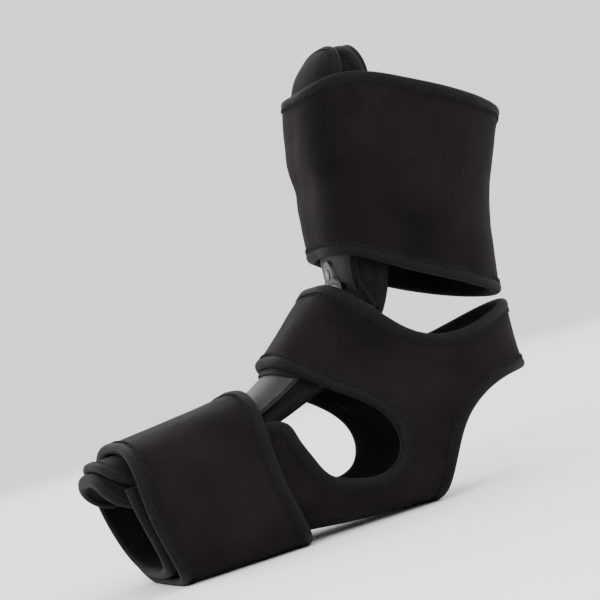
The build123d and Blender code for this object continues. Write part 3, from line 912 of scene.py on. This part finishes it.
def tape_material(name, dark, light):
    """Woven tape: diagonal ribs, with painted shade in the grooves between them and a painted highlight on
    their flattened tops.
    """
    material, tree, shader = node_material(name)
    rib = wave_node(tree, "DIAGONAL", 420.0, 0.8)
    cross = wave_node(tree, "X", 640.0, 0.5)
    broad = noise_node(tree, 45.0, 4.0)
    base = ramp_node(tree, broad.outputs["Fac"], [(0.3, dark), (0.75, light)])
    # painted shade in the rib grooves (0.7) and painted highlight on the rib tops (1.15), multiplied into the
    # base colour where the cross bands are high
    rib_shade_painted = ramp_node(tree, rib.outputs["Fac"], [(0.1, (0.7, 0.7, 0.7)), (0.8, (1.15, 1.15, 1.12))])
    set_colour(tree, shader, cross.outputs["Fac"], base, rib_shade_painted)
    set_roughness(tree, shader, broad.outputs["Fac"], 0.62, 0.85)
    shader.inputs["Specular IOR Level"].default_value = 0.1
    shader.inputs["Sheen Weight"].default_value = 0.02
    set_bumps(tree, shader, (rib.outputs["Fac"], 0.45, 0.0003), (cross.outputs["Fac"], 0.3, 0.0002))
    return material


def plastic_material(name, dark, light):
    """Moulded plastic: a fine grain, faint flow marks and dulled scuffs."""
    material, tree, shader = node_material(name)
    grain = noise_node(tree, 1500.0, 2.0)
    flow = noise_node(tree, 14.0, 3.0, 0.5, 1.5)
    scuff = noise_node(tree, 160.0, 6.0, 0.75, 0.8)
    base = ramp_node(tree, flow.outputs["Fac"], [(0.3, dark), (0.75, light)])
    marks = ramp_node(tree, scuff.outputs["Fac"], [(0.45, (0.93, 0.93, 0.93)), (0.7, (1.12, 1.12, 1.12))])
    set_colour(tree, shader, scuff.outputs["Fac"], base, marks)
    set_roughness(tree, shader, scuff.outputs["Fac"], 0.5, 0.66)
    shader.inputs["Specular IOR Level"].default_value = 0.2
    set_bumps(tree, shader, (grain.outputs["Fac"], 0.12, 0.0002), (flow.outputs["Fac"], 0.15, 0.002))
    return material


def metal_material(name, dark, light, rough, metallic):
    """Sheet metal or steel: brushed along its length, with darker handling marks."""
    material, tree, shader = node_material(name)
    brush = wave_node(tree, "Y", 900.0, 6.0)
    marks = noise_node(tree, 260.0, 5.0, 0.7, 0.6)
    base = ramp_node(tree, marks.outputs["Fac"], [(0.3, dark), (0.7, light)])
    link(tree, base.outputs["Color"], shader.inputs["Base Color"])
    set_roughness(tree, shader, marks.outputs["Fac"], *rough)
    shader.inputs["Metallic"].default_value = metallic
    set_bumps(tree, shader, (brush.outputs["Fac"], 0.08, 0.0001))
    return material


NEOPRENE = cloth_material("neoprene_face", (0.0020, 0.0013, 0.0017), (0.0078, 0.0050, 0.0066))
LINER = cloth_material("liner_knit", (0.0034, 0.0031, 0.0031), (0.0068, 0.0062, 0.0062), 700.0, 0.5, 0.03)
SLEEVE_CLOTH = cloth_material("sleeve_cloth", (0.0034, 0.0033, 0.0032), (0.0068, 0.0065, 0.0063), 1100.0, 0.3)
TAPE_CLOTH = tape_material("edge_tape", (0.0015, 0.0018, 0.0014), (0.0040, 0.0045, 0.0036))
THREAD = tape_material("stitch_thread", (0.0015, 0.0015, 0.0015), (0.0035, 0.0035, 0.0034))
HOOKS = cloth_material("hook_patch", (0.005, 0.005, 0.005), (0.009, 0.009, 0.009), 600.0, 0.9, 0.05)
BLACK_SHELL = plastic_material("black_shell", (0.0028, 0.0028, 0.0027), (0.0055, 0.0055, 0.0053))
GREY_SHELL = plastic_material("grey_shell", (0.0155, 0.0157, 0.0150), (0.0235, 0.0237, 0.0225))
LEAF = metal_material("hinge_leaf", (0.045, 0.045, 0.042), (0.085, 0.085, 0.08), (0.45, 0.62), 0.35)
STEEL = metal_material("fastener_steel", (0.13, 0.13, 0.125), (0.24, 0.24, 0.23), (0.32, 0.5), 0.8)


def finish_piece(piece, material, body, slot, *nodes):
    piece.data.materials.clear()
    piece.data.materials.append(material)
    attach(piece, body)
    if nodes:
        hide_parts(*nodes)
    return piece


def finish_tape(name, bands, body, *nodes):
    return finish_piece(sweep(name, bands), TAPE_CLOTH, body, "binding_tape", *nodes)


def finish_threads(name, bands, body):
    return finish_piece(sweep(name, bands), THREAD, body, "binding_tape")


# ---- wraps
HIDE = 2.2 * MM  # how far a cloth's cut edge lies inside its tape
WRAP_BINDING = Binding(*mm(7.0, 4.4, 0.75), CLOTH)
WRAP_STITCH = Stitch(*mm(6.0, 0.52, 0.27, 1.15, 4.4))


def wrap(prefix, form, body, relief, bindings, around=200):
    """A wrap of one cloth, its tapes, each named for the CAD binding it stands for, and its stitching.

    The bindings are rows of an edge, its CAD node and the limits that end its tape.
    """
    patch = Patch(form, [Inside(EDGES[edge], HIDE) for edge, _, _ in bindings], around)
    cloth = skin(prefix + "_cloth", patch, 0.0, CLOTH, relief)
    finish_piece(cloth, NEOPRENE, body, "neoprene", prefix + "_wrap")
    stitches = []
    for edge, node, ends in bindings:
        tapes, threads = bind(form, EDGES[edge], ends, 0.0, relief, WRAP_BINDING, WRAP_STITCH)
        stitches += threads
        finish_tape(node.replace("binding", "tape"), tapes, body, node)
    finish_threads(prefix + "_stitches", stitches, body)
    return cloth


calf_cloth = wrap(
    "calf",
    CALF,
    "shin",
    calf_relief,
    [
        ("calf_top", "calf_top_binding", [EDGES["calf_bottom"]]),
        ("calf_bottom", "calf_bottom_binding", [EDGES["calf_top"]]),
    ],
)
short_of_toes = Inside(EDGES["sole_front"], WRAP_BINDING.width)
ankle_cloth = wrap(
    "ankle",
    ANKLE,
    "foot",
    ankle_relief,
    [
        ("ankle_top", "ankle_top_binding", [EDGES["heel"], EDGES["instep"]]),
        ("heel", "heel_binding", [EDGES["ankle_top"]]),
        ("instep", "instep_binding", [EDGES["ankle_top"], EDGES["heel"], short_of_toes]),
        ("sole_front", "sole_front_binding", [EDGES["instep"]]),
    ],
    260,
)
forefoot_cloth = wrap(
    "forefoot",
    FOREFOOT,
    "foot",
    forefoot_relief,
    [
        ("forefoot_rear", "forefoot_rear_binding", [EDGES["forefoot_front"]]),
        ("forefoot_front", "forefoot_front_binding", [EDGES["forefoot_rear"]]),
    ],
)

# ---- hinge line, shells and sleeves
low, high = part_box("hinge_pin")
PIN_X, PIN_Z = (low[0] + high[0]) / 2, (low[2] + high[2]) / 2
SPLIT_ACROSS = (0.67, -0.74)  # from the shin's side of the split line to the foot's side
SPLIT_GAP = 0.8 * MM
BARREL_ROOM = 4.75 * MM


class Split:
    """One side of the line between the shin's pieces and the foot's pieces, sign +1 for the foot's side."""

    def __init__(self, sign):
        self.sign = sign

    def signed(self, place):
        off = (place[..., 0] - PIN_X) * SPLIT_ACROSS[0] + (place[..., 2] - PIN_Z) * SPLIT_ACROSS[1]
        return self.sign * off - SPLIT_GAP / 2


class OffBarrel:
    """Everything outside the room that the hinge's barrel needs."""

    def signed(self, place):
        return np.hypot(place[..., 0] - PIN_X, place[..., 2] - PIN_Z) - BARREL_ROOM


def node_tree(name):
    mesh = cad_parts[name].data
    vertices = [tuple(vertex.co) for vertex in mesh.vertices]
    return BVHTree.FromPolygons(vertices, [tuple(face.vertices) for face in mesh.polygons])


SEAT_DEPTH = 0.5 * MM
SEAT_NEAR, SEAT_FADE, SEAT_REACH = mm(0.5, 0.6, 1.6)


def seat_drop(tree, place):
    """How far a shell's face is let in under a hinge leaf."""
    result = np.zeros(len(place))
    for i, point in enumerate(place):
        near = tree.find_nearest(Vector(point), SEAT_REACH)
        if near[0] is not None:
            result[i] = 1 - smooth((near[3] - SEAT_NEAR) / SEAT_FADE)
    return SEAT_DEPTH * result


SHELL_RIM = 1.1 * MM
BEVEL_WIDTH = 3.6 * MM
SHELL_THINNER = 0.15 * MM  # taken off its inner face


def shell_piece(form, outer, side, bevel, material, slot, body):
    """The shin's or the foot's shell, cut to its outline, its side of the split line and the hinge barrel."""
    node = body + "_shell"
    limit = Kept(EDGES[node])
    limits = [Inside(edge, SHELL_RIM) for edge in (limit, Split(side), OffBarrel())]
    patch = Patch(form, limits, 240, 1.2 * MM, outer)
    tree = node_tree(body + "_leaf")

    def puff(place):
        drop = bevel * (1 - smooth(limit.signed(place) / BEVEL_WIDTH)) ** 1.5
        return -drop - seat_drop(tree, place), np.full(len(place), -SHELL_THINNER)

    piece = skin(node + "_plate", patch, outer, outer + SHELL, rim=SHELL_RIM, puff=puff)
    return finish_piece(piece, material, body, slot, node)


shell_piece(CALF, SHELL_IN, -1, 0.9 * MM, BLACK_SHELL, "black_shell", "shin")
shell_piece(FOOT_TOP, 0.0, 1, 1.0 * MM, GREY_SHELL, "grey_shell", "foot")


def sleeve_relief(place):
    return (0.28 * ripple(place, 0.03, 11) + 0.1 * ripple(place, 0.011, 12) - 0.15) * MM


SLEEVE_BINDING = Binding(*mm(4.6, 3.4, 0.4), SLEEVE + SHELL)
SLEEVE_STITCH = Stitch(*mm(4.1, 0.35, 0.18, 0.55, 3.2))
HEM_STITCH = Stitch(*mm(0.0, 0.1, 0.16, 0.3, 2.6))
HEM_IN = 2.2 * MM


def sleeve_piece(form, outer, end, body):
    """A fabric sleeve over a shell's free end, bound along the shell's outline."""
    prefix, width = body + "_sleeve", SLEEVE_BINDING.width
    limit = Inside(Kept(EDGES[body + "_shell"]), -width)
    patch = Patch(form, [Inside(limit, 2.0 * MM), end], 240, 1.2 * MM, outer)
    cloth = skin(prefix + "_cloth", patch, outer, outer + SLEEVE, sleeve_relief, rim=0.5 * MM)
    finish_piece(cloth, SLEEVE_CLOTH, body, "sleeve_cloth", prefix)
    tapes, seams = bind(form, limit, [end], outer, sleeve_relief, SLEEVE_BINDING, SLEEVE_STITCH)
    finish_tape(prefix + "_tape", tapes, body, prefix + "_binding")
    finish_threads(prefix + "_stitches", seams, body)
    hem, ends = Inside(end, HEM_IN), [Inside(limit, width)]
    hems = sew(form, hem, ends, outer, sleeve_relief, HEM_STITCH, STITCH_STEP)
    finish_threads(prefix + "_hem_stitches", hems, body)


sleeve_piece(CALF, SLEEVE_IN, EDGES["sleeve_lower"], "shin")
sleeve_piece(FOOT_TOP, -GAP / 3 - SLEEVE, EDGES["foot_sleeve_rear"], "foot")

# ---- the ankle band's inner layer
CORNER_LOW = 0.070  # the layer shows above this height
CORNER_TOP, CORNER_SLOPE = 0.074, 0.6  # and below this line in the side view


class FrontCorner:
    """The part of the side view round the band's front corner, where the inner layer shows."""

    def signed(self, place):
        x, z = place[..., 0], place[..., 2]
        return np.minimum(z - CORNER_LOW, CORNER_TOP - CORNER_SLOPE * x - z)


INNER_AHEAD, INNER_BEHIND = mm(4.2, 0.8)  # of the instep edge, in front and where it has faded
INNER_FADE_LOW, INNER_FADE = 0.0745, 0.011


class InnerEdge:
    """The instep edge, moved out in front and fading back under the band's own edge."""

    def signed(self, place):
        ahead = INNER_AHEAD * smooth((place[..., 2] - INNER_FADE_LOW) / INNER_FADE)
        return EDGES["instep"].signed(place) + ahead - INNER_BEHIND


INNER_IN = CLOTH + 0.7 * MM
INNER_BINDING = Binding(*mm(7.5, 5.5, 0.4, 1.2))
inner_tapes, _ = bind(ANKLE, InnerEdge(), [FrontCorner()], INNER_IN, no_relief, INNER_BINDING)
finish_tape("ankle_inner_tape", inner_tapes, "foot")

# ---- one liner, bent behind the hinge
def taken_in(ring, inset):
    (fx, fz), (bx, bz), half_width, front_power, back_power = ring
    depth = math.hypot(fx - bx, fz - bz)
    by = inset / SIZE
    ax, az = by * (fx - bx) / depth, by * (fz - bz) / depth
    return (fx - ax, fz - az), (bx + ax, bz + az), half_width - by, front_power, back_power


LINER_FORM = Form(
    [taken_in(ring, SHIN_PAD_IN) for ring in CALF_RINGS[:7]]
    + [((27.0, 122.0), (-27.0, 80.0), 30.9, 3.4, 2.0)]
    + [taken_in(ring, FOOT_PAD_IN) for ring in FOOT_RINGS[2:]]
)
LINER_EDGE = Kept(
    Edge(
        drawn(
            (-7, 262), (-9.5, 243), (-11, 233), (-10, 222), (-6, 200), (-2, 170), (2, 146), (5.8, 127),
            (11.5, 111), (22, 96.5), (38, 85), (57.5, 76), (95, 63.5), (124, 54), (153, 46.5), (174, 45.5),
            (185, 56), (188, 72), (188, 95),
        ),
        drawn((260, 95), (260, 320), (-7, 320)),
    )
)
LINER_TAPE_IN = 0.9 * MM
LINER_BINDING = Binding(*mm(6.0, 4.6, 0.5, 5.6))
LINER_STITCH = Stitch(*mm(5.4, 0.3, 0.2, 0.7, 3.6))
WELT = Stitch(*mm(0.0, 0.5, 1.5), sides=10)  # a cord seam in the liner's face, just outside the shell


def liner_puff(place):
    inside = LINER_EDGE.signed(place)
    full = smooth((inside - 3.0 * MM) / (9.0 * MM))
    rise_out = -1.6 * MM * (1 - full)
    crown = smooth(inside / (30 * MM))
    rise_in = (-2.3 * (1 - full) + 1.4 * crown) * MM + 0.35 * MM * ripple(place, 0.028, 21)
    return rise_out, rise_in


liner_patch = Patch(LINER_FORM, [Inside(LINER_EDGE, 2.6 * MM)], 220, 1.5 * MM)
liner = skin("liner", liner_patch, 0.0, PAD, rim=0.8 * MM, puff=liner_puff)
liner.data.materials.append(LINER)
tapes, seams = bind(LINER_FORM, LINER_EDGE, [], LINER_TAPE_IN, no_relief, LINER_BINDING, LINER_STITCH)
welt_edge = Inside(Kept(EDGES["shin_shell"]), -2.6 * MM)
tapes += sew(LINER_FORM, welt_edge, [Inside(LINER_EDGE, 4.0 * MM)], 0.0, no_relief, WELT)
liner_tape = sweep("liner_tape", tapes)
liner_tape.data.materials.append(TAPE_CLOTH)
liner_stitches = sweep("liner_stitches", seams)
liner_stitches.data.materials.append(THREAD)
for piece, slot in ((liner, "liner_foam"), (liner_tape, "binding_tape"), (liner_stitches, "binding_tape")):
    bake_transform(piece)
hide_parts("shin_pad", "foot_pad")
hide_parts("shin_pad_binding", "foot_pad_binding")

# ---- closing flaps, on the lateral side
class Lateral:
    """The side of the brace away from the camera, where the wraps close."""

    def signed(self, place):
        return -place[..., 1]


class Rounded:
    """The inside of a polygon with rounded corners, less a margin."""

    def __init__(self, corners, radius, margin=0.0):
        self.corners, self.radius, self.margin = drawn(*corners), radius, margin

    def signed(self, place):
        flat = place[..., [0, 2]]
        ring, after = self.corners, np.roll(self.corners, -1, axis=0)
        area = (ring[:, 0] * after[:, 1] - after[:, 0] * ring[:, 1]).sum()
        sides = []
        for corner, run in zip(ring, after - ring):
            out = np.array([run[1], -run[0]]) * np.sign(area) / np.linalg.norm(run)
            sides.append(((flat - corner) * out).sum(-1) + self.radius)
        sides = np.stack(sides)
        over = np.maximum(sides, 0)
        far = np.linalg.norm(np.sort(over, axis=0)[-2:], axis=0)
        far = np.where(sides.max(0) < 0, sides.max(0), far)
        return self.radius - far - self.margin


class FromRoot:
    """Distance from a flap's root, the side between its first two corners."""

    def __init__(self, corners):
        self.first, self.second, self.third = drawn(*corners[:3])

    def signed(self, place):
        run = self.second - self.first
        across = np.array([-run[1], run[0]]) / np.linalg.norm(run)
        across *= np.sign(((self.third - self.first) * across).sum())
        return ((place[..., [0, 2]] - self.first) * across).sum(-1)


FLAP_RADIUS = 9.0 * MM
FLAP_BINDING = Binding(*mm(6.2, 3.9, 0.55), FLAP)
FLAP_STITCH = Stitch(*mm(5.4, 0.4, 0.2, 0.9, 4.0))
ROOT_STITCH = Stitch(*mm(0.0, 0.1, 0.2))
ROOT_ROWS = mm(2.5, 6.0)  # of straight stitches, from the root


def closing_flap(prefix, form, corners, relief):
    """A flap that dips to its wrap at its root, with its tape, its stitching and its hook patch."""
    body = prefix + "_flap"
    outline, root = Rounded(corners, FLAP_RADIUS), FromRoot(corners)
    outer = -FLAP_OUT - FLAP

    def drop(place):
        down = 1 - smooth(root.signed(place) / (9 * MM))
        return relief(place) - (FLAP_OUT + 0.7 * MM) * down + 0.3 * MM * ripple(place, 0.03, 31)

    patch = Patch(form, [Lateral(), Inside(outline, HIDE), Inside(root, 0.6 * MM)], 260, 1.4 * MM, outer)
    cloth = skin(body + "_cloth", patch, outer, outer + FLAP, drop)
    finish_piece(cloth, NEOPRENE, body, "neoprene", body)
    ends = [Lateral(), Inside(root, 0.8 * MM)]
    tapes, seams = bind(form, outline, ends, outer, drop, FLAP_BINDING, FLAP_STITCH)
    for reach in ROOT_ROWS:
        ends = [Lateral(), Inside(outline, 6.5 * MM)]
        seams += sew(form, Inside(root, reach), ends, outer, drop, ROOT_STITCH, 0.6 * MM)
    finish_tape(body + "_tape", tapes, body)
    finish_threads(body + "_stitches", seams, body)
    limits = [Lateral(), Rounded(corners, FLAP_RADIUS, 7.0 * MM), Inside(root, 12 * MM)]
    hook_patch = Patch(form, limits, 200, 1.6 * MM)
    hooks = skin(prefix + "_hook_pad", hook_patch, -FLAP_OUT + 0.05 * MM, -0.3 * MM, relief, rim=0.3 * MM)
    finish_piece(hooks, HOOKS, body, "hook_patch", prefix + "_hook")
    return cloth


calf_flap = closing_flap("calf", CALF, ((-45, 190), (-33, 130), (15, 144), (5, 204)), calf_relief)
ankle_flap = closing_flap("ankle", ANKLE, ((6, 80), (26, 60), (58, 90), (38, 110)), ankle_relief)
forefoot_corners = ((108, 18), (162, 14), (158, 58), (110, 60))
forefoot_flap = closing_flap("forefoot", FOREFOOT, forefoot_corners, forefoot_relief)

# ---- hinge metal
for material, nodes in (
    (LEAF, ("shin_leaf", "foot_leaf")),
    (STEEL, ("shin_rivet", "foot_rivets", "hinge_pin", "lock_washer", "lock_nut")),
):
    for node in nodes:
        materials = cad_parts[node].data.materials
        materials.clear()
        materials.append(material)

# ---- floor and light
FLOOR_FLAT, FLOOR_BEND, WALL = 2.2, 1.6, 3.5  # the flat's radius, the bend's, and the wall's height
FLOOR_SIDES, BEND_STEPS = 96, 12
LIGHTS = [  # name, place, size, power
    ("key", (0.5, 1.3, 1.0), 0.9, 26.0),
    ("fill", (1.2, -0.6, 0.8), 1.2, 10.0),
    ("rim", (-1.2, 0.5, 1.2), 0.8, 14.0),
    ("back", (-0.3, -1.3, 0.9), 1.2, 10.0),
]
LIT = Vector((-0.05, 0.0, 0.1))
SKY = 1.5


def stage():
    """A pale bowl under the object, a white sky and four soft lamps."""
    material, tree, shader = node_material("floor")
    mottle = noise_node(tree, 3.0, 2.0)
    tone = ramp_node(tree, mottle.outputs["Fac"], [(0.3, (0.90, 0.90, 0.90)), (0.7, (0.92, 0.92, 0.92))])
    link(tree, tone.outputs["Color"], shader.inputs["Base Color"])
    shader.inputs["Roughness"].default_value = 0.9
    low = cad_bounds[0][2]
    profile = [(0.3, low), (1.0, low), (FLOOR_FLAT, low)]
    for step in range(1, BEND_STEPS + 1):
        angle = step / BEND_STEPS * math.pi / 2
        reach, height = FLOOR_BEND * math.sin(angle), FLOOR_BEND * (1 - math.cos(angle))
        profile.append((FLOOR_FLAT + reach, low + height))
    profile.append((FLOOR_FLAT + FLOOR_BEND, low + WALL))
    points, faces = [], [list(range(FLOOR_SIDES))]
    for row, (reach, height) in enumerate(profile):
        for k in range(FLOOR_SIDES):
            angle = 2 * math.pi * k / FLOOR_SIDES
            points.append((reach * math.cos(angle), reach * math.sin(angle), height))
            if row:
                here, before = row * FLOOR_SIDES, (row - 1) * FLOOR_SIDES
                ahead = (k + 1) % FLOOR_SIDES
                faces.append([before + ahead, before + k, here + k, here + ahead])
    floor = new_object("floor", points, faces)
    floor.data.materials.append(material)
    world = bpy.data.worlds.new("studio")
    bpy.context.scene.world = world
    world.use_nodes = True
    background = world.node_tree.nodes["Background"]
    background.inputs["Color"].default_value = (1.0, 1.0, 1.0, 1.0)
    background.inputs["Strength"].default_value = SKY
    for name, place, size, power in LIGHTS:
        lamp = bpy.data.objects.new(name, bpy.data.lights.new(name, "AREA"))
        lamp.data.energy = power
        lamp.data.size = size
        lamp.location = place
        lamp.rotation_euler = (LIT - Vector(place)).to_track_quat("-Z", "Y").to_euler()
        bpy.context.scene.collection.objects.link(lamp)


stage()
